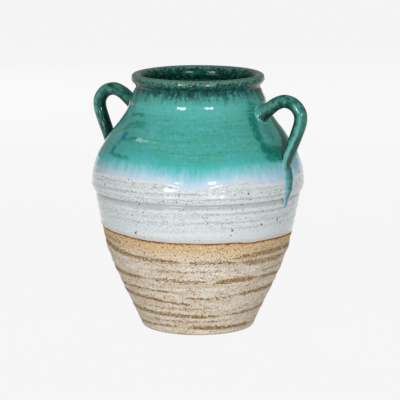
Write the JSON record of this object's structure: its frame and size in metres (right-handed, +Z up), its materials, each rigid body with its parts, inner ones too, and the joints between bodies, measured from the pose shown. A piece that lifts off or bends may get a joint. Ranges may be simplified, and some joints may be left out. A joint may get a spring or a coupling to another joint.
{
  "type": "amphora vase",
  "caption": "Wide-mouthed thrown amphora vase with loop handles from neck to shoulder, teal glaze running to white over a bare sand-coloured foot.",
  "frame": {"origin": "centre of the foot's resting face, on the surface that the vase stands on", "axes": "+Z up along the axis of turning; the handles lie in the XZ plane, one towards +X and one towards -X"},
  "size_m": [0.2854, 0.2478, 0.3],
  "materials": {
    "sand_clay": "matte",
    "teal_glaze": "gloss",
    "dark_glaze": "gloss"
  },
  "bodies": {
    "root": {"lower_section": "sand_clay", "upper_section": "teal_glaze", "rim_collar": "dark_glaze", "handle_right": "teal_glaze", "handle_left": "teal_glaze"}
  },
  "joints": []
}
